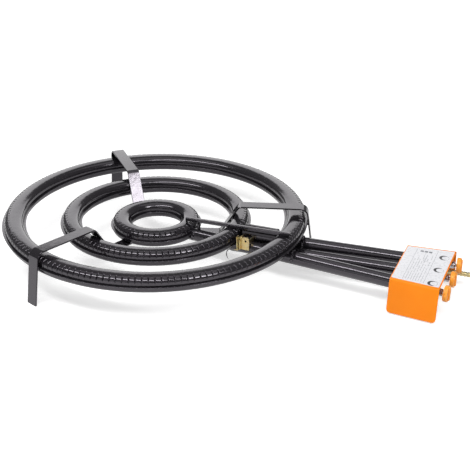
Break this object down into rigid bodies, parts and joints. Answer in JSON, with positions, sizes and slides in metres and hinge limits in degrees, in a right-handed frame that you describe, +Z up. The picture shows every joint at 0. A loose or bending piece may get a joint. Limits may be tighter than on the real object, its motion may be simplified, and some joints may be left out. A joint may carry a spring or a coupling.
{
  "type": "paella burner",
  "caption": "Concentric ring gas burner on bent flat-bar legs, with mixing tubes running to push-and-turn taps in a folded casing.",
  "frame": {"origin": "on the floor under the middle of the whole burner's bounding box", "axes": "+X from the rings to the taps, +Z up, +Y to the left when facing along +X"},
  "size_m": [0.9154, 0.6, 0.103],
  "materials": {
    "black_enamel": "glossy fired enamel",
    "orange_paint": "satin powder coat",
    "orange_plastic": "moulded, half gloss",
    "yellow_zinc": "yellow passivated zinc",
    "zinc_steel": "zinc plated",
    "brass": "turned",
    "chrome": "polished"
  },
  "bodies": {
    "burner": {"outer_ring_lid": "black_enamel", "outer_ring_trough": "black_enamel", "outer_mixing_tube": "black_enamel", "middle_ring_lid": "black_enamel", "middle_ring_trough": "black_enamel", "middle_mixing_tube": "black_enamel", "inner_ring_lid": "black_enamel", "inner_ring_trough": "black_enamel", "inner_mixing_tube": "black_enamel", "leg_front": "black_enamel", "leg_back": "black_enamel", "leg_side": "black_enamel", "carry_over_channel": "black_enamel", "zinc_bracket": "yellow_zinc", "tap_casing": "orange_paint", "tube_plate": "zinc_steel", "tap_plate": "zinc_steel", "manifold_pipe": "zinc_steel", "manifold_end_plug": "zinc_steel", "inlet_elbow": "zinc_steel", "hose_nozzle": "brass", "tap_body_front": "brass", "tap_bonnet_front": "chrome", "jet_front": "brass", "tap_body_middle": "brass", "tap_bonnet_middle": "chrome", "jet_middle": "brass", "tap_body_back": "brass", "tap_bonnet_back": "chrome", "jet_back": "brass"},
    "plug_front": {"tap_plug_front": "brass"},
    "plug_middle": {"tap_plug_middle": "brass"},
    "plug_back": {"tap_plug_back": "brass"},
    "knob_front": {"tap_stem_front": "zinc_steel", "knob_front": "orange_plastic"},
    "knob_middle": {"tap_stem_middle": "zinc_steel", "knob_middle": "orange_plastic"},
    "knob_back": {"tap_stem_back": "zinc_steel", "knob_back": "orange_plastic"}
  },
  "joints": [
    {"name": "tap_front_turn", "type": "hinge", "parent": "burner", "child": "plug_front", "pos_m": [0.38835, -0.05257, 0.048], "axis": [0.9954, -0.0958, 0], "range_deg": [0, 180]},
    {"name": "tap_front_push", "type": "slide", "parent": "plug_front", "child": "knob_front", "axis": [-0.9954, 0.0958, 0], "range_m": [0, 0.0025], "stiffness_N_per_m": 800, "springref_m": -0.003},
    {"name": "tap_middle_turn", "type": "hinge", "parent": "burner", "child": "plug_middle", "pos_m": [0.38835, 0, 0.048], "axis": [1, 0, 0], "range_deg": [0, 180]},
    {"name": "tap_middle_push", "type": "slide", "parent": "plug_middle", "child": "knob_middle", "axis": [-1, 0, 0], "range_m": [0, 0.0025], "stiffness_N_per_m": 800, "springref_m": -0.003},
    {"name": "tap_back_turn", "type": "hinge", "parent": "burner", "child": "plug_back", "pos_m": [0.38835, 0.05257, 0.048], "axis": [0.9954, 0.0958, 0], "range_deg": [0, 180]},
    {"name": "tap_back_push", "type": "slide", "parent": "plug_back", "child": "knob_back", "axis": [-0.9954, -0.0958, 0], "range_m": [0, 0.0025], "stiffness_N_per_m": 800, "springref_m": -0.003}
  ]
}
